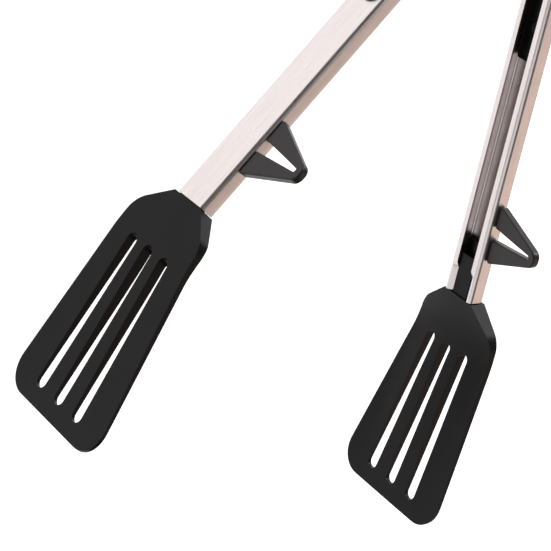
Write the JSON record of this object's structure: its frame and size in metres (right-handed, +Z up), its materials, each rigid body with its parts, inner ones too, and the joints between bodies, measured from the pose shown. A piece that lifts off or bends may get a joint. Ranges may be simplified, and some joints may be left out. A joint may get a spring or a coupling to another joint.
{
  "type": "slotted turner tongs",
  "caption": "Spring-opened scissor tongs with slotted nylon turner blades, channel arms of sheet steel, rubber grips, rest feet and a pull lock with a hanging loop.",
  "frame": {"origin": "under the middle of the tongs' box, on the surface they lie on, open and with the rest feet upward", "axes": "+Y from the blades to the hinge and the hanging loop, +Z up, +X from the left arm to the right arm"},
  "size_m": [0.1728, 0.3258, 0.0573],
  "materials": {
    "brushed_stainless": "stainless sheet, finely brushed along the arms",
    "spring_steel": "drawn spring wire, bright",
    "black_nylon": "glass-filled nylon, fine moulded texture",
    "black_grip_rubber": "soft grip rubber, matte",
    "natural_nylon": "natural nylon, smooth"
  },
  "bodies": {
    "hinge": {"hinge_pin": "brushed_stainless", "hinge_pin_cap": "brushed_stainless", "hinge_bushing": "natural_nylon", "lower_ear_washer": "natural_nylon", "upper_ear_washer": "natural_nylon", "torsion_spring": "spring_steel"},
    "left": {"left_arm": "brushed_stainless", "left_grip_pad": "black_grip_rubber", "left_grip_liner": "black_nylon", "left_head": "black_nylon", "left_foot": "black_nylon"},
    "right": {"right_arm": "brushed_stainless", "right_grip_pad": "black_grip_rubber", "right_grip_liner": "black_nylon", "right_head": "black_nylon", "right_foot": "black_nylon"},
    "lock": {"lower_slide_plate": "brushed_stainless", "upper_slide_plate": "brushed_stainless", "lock_cross_pin": "brushed_stainless", "pull_tab": "black_nylon", "pull_tab_pin": "brushed_stainless"}
  },
  "joints": [
    {"name": "left_arm_closes", "type": "hinge", "parent": "hinge", "child": "left", "pos_m": [0, 0.1127, 0.00953], "axis": [0, 0.0749, 0.9972], "range_deg": [0, 17.1], "stiffness_Nm_per_rad": 0.25, "springref_deg": -8.59, "deforming": ["torsion_spring"]},
    {"name": "right_arm_closes", "type": "hinge", "parent": "hinge", "child": "right", "pos_m": [0, 0.1127, 0.00953], "axis": [0, -0.0749, -0.9972], "range_deg": [0, 17.1], "stiffness_Nm_per_rad": 0.25, "springref_deg": -8.59},
    {"name": "lock_pulls", "type": "slide", "parent": "hinge", "child": "lock", "axis": [0, 0.9972, -0.0749], "range_m": [0, 0.006]}
  ],
  "couplings": [
    {"joint": "right_arm_closes", "follows": "left_arm_closes", "ratio": 1}
  ]
}
